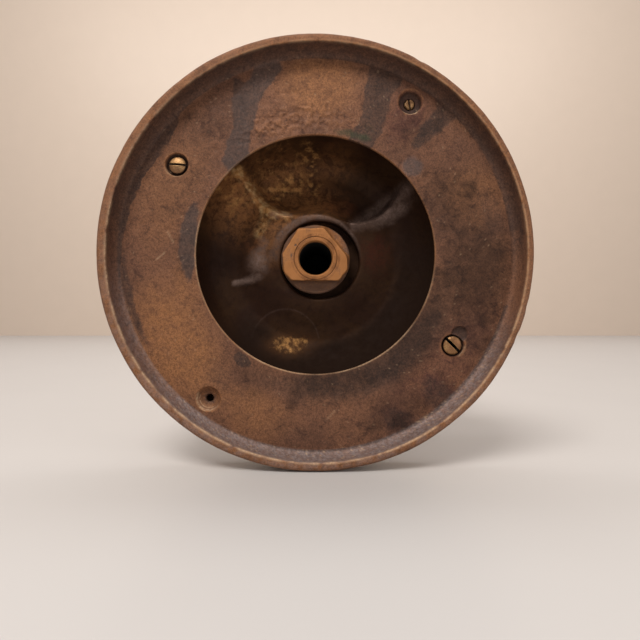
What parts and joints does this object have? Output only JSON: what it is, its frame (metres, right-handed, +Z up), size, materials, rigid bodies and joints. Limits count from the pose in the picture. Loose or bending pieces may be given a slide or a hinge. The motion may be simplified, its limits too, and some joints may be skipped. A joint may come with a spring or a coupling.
{
  "type": "fire hose nozzle",
  "caption": "Cast bronze fire hose nozzle: a rimmed disc face with a round bell opening and a hub bore, on a neck with a lever shut-off cock and a swivel hose coupling.",
  "frame": {"origin": "centre of the inlet mouth, on the nozzle's axis, in the plane of the swivel's rear end", "axes": "+Y is the nozzle's axis pointing back along the hose, so water leaves towards -Y; +Z is up with the face upright; +X is to the right seen from the face"},
  "size_m": [0.178, 0.172, 0.178],
  "materials": {
    "ring_bronze": "rough sand casting with a brown patina, rubbed to golden brass on the lip",
    "shell_bronze": "smooth dark brown patina with small golden worn patches",
    "neck_bronze": "turned casting with a brown patina, bright on its edges",
    "worn_brass": "old brass, rubbed on its high edges and dark in its slots",
    "hub_brass": "orange-gold brass with file marks and chipped corners",
    "steel": "plain oiled steel",
    "gasket_leather": "dark oiled packing leather",
    "hose_rubber": "matt black moulded rubber"
  },
  "bodies": {
    "nozzle": {"face_ring": "ring_bronze", "ring_gasket": "gasket_leather", "bell_shell": "shell_bronze", "left_ring_screw": "worn_brass", "right_ring_screw": "worn_brass", "broken_screw_stub": "worn_brass", "hub_nut": "hub_brass", "hub_washer": "gasket_leather", "discharge_tube": "hub_brass", "neck_gasket": "gasket_leather", "locating_pin": "steel", "neck_body": "neck_bronze", "tube_set_screw": "steel", "stop_pin": "steel", "thrust_washer": "gasket_leather"},
    "swivel": {"swivel_coupling": "neck_bronze", "spanner_lugs": "worn_brass", "ball_plug": "worn_brass", "hose_washer": "hose_rubber"},
    "ball_row": {"bearing_balls": "steel"},
    "shutoff": {"cock_plug": "hub_brass", "cock_lever": "neck_bronze", "lever_nut": "worn_brass", "plug_washer": "worn_brass", "plug_nut": "worn_brass"}
  },
  "joints": [
    {"name": "shutoff_turn", "type": "hinge", "parent": "nozzle", "child": "shutoff", "pos_m": [0, -0.095, 0], "axis": [0, 0, 1], "range_deg": [0, 90]},
    {"name": "swivel_turn", "type": "hinge", "parent": "nozzle", "child": "swivel", "pos_m": [0, -0.03, 0], "axis": [0, 1, 0], "continuous": true},
    {"name": "ball_row_turn", "type": "hinge", "parent": "nozzle", "child": "ball_row", "pos_m": [0, -0.03, 0], "axis": [0, 1, 0], "continuous": true}
  ],
  "couplings": [
    {"joint": "ball_row_turn", "follows": "swivel_turn", "ratio": 0.5}
  ]
}
